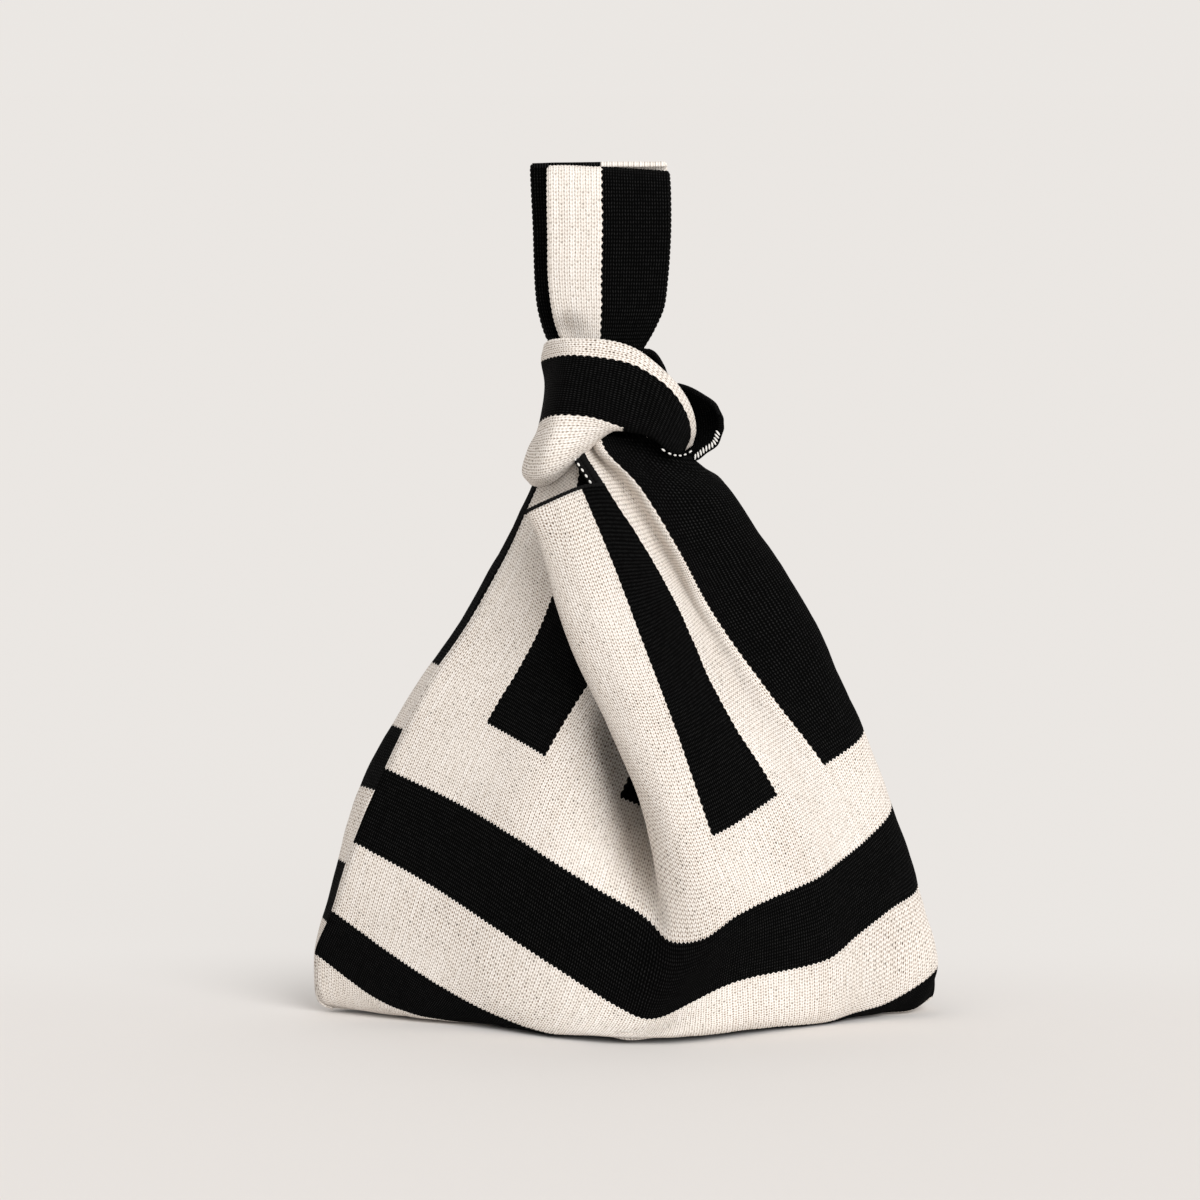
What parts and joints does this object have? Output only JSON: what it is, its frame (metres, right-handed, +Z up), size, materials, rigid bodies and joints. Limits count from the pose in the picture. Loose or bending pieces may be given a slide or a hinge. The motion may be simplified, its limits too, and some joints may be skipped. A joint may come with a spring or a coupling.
{
  "type": "japanese knot bag",
  "caption": "Knitted knot bag with a sagging striped pouch, a long strap standing up as a wrist loop, and a short strap wrapped round it as the knot.",
  "frame": {"origin": "on the floor, under the middle of the pouch", "axes": "+X to the right, -Y to the front, +Z up"},
  "size_m": [0.2618, 0.128, 0.3503],
  "materials": {
    "cream_knit": "matte double knit",
    "black_knit": "matte double knit"
  },
  "bodies": {
    "bag": {"front_panel": "cream_knit", "back_panel": "cream_knit", "left_side_seam": "black_knit", "right_side_seam": "black_knit", "bottom_seam": "cream_knit", "front_mouth_edging": "black_knit", "back_mouth_edging": "black_knit", "long_strap_front_stem": "cream_knit", "long_strap_back_stem": "black_knit", "short_strap_front_root": "black_knit", "short_strap_back_root": "black_knit"},
    "knot": {"knot_front_band": "black_knit", "knot_back_band": "black_knit", "knot_band_seam": "black_knit", "knot_front_overlock": "cream_knit", "knot_back_overlock": "cream_knit"},
    "strap_neck": {"long_strap_front_gather": "cream_knit", "long_strap_back_gather": "black_knit"},
    "wrist_loop": {"wrist_loop_front": "cream_knit", "wrist_loop_back": "black_knit", "wrist_loop_seam": "black_knit"}
  },
  "joints": [
    {"name": "knot_slide", "type": "slide", "parent": "bag", "child": "knot", "axis": [0, 0, 1], "range_m": [0, 0.01]},
    {"name": "loop_twist", "type": "hinge", "parent": "bag", "child": "strap_neck", "pos_m": [-0.009, 0, 0.281], "axis": [0, 0, 1], "range_deg": [-45, 45], "deforming": ["long_strap_front_gather", "long_strap_back_gather"]},
    {"name": "loop_fold", "type": "hinge", "parent": "strap_neck", "child": "wrist_loop", "pos_m": [-0.009, 0, 0.301], "axis": [1, 0, 0], "range_deg": [-75, 75], "deforming": ["long_strap_front_gather", "long_strap_back_gather"]}
  ]
}
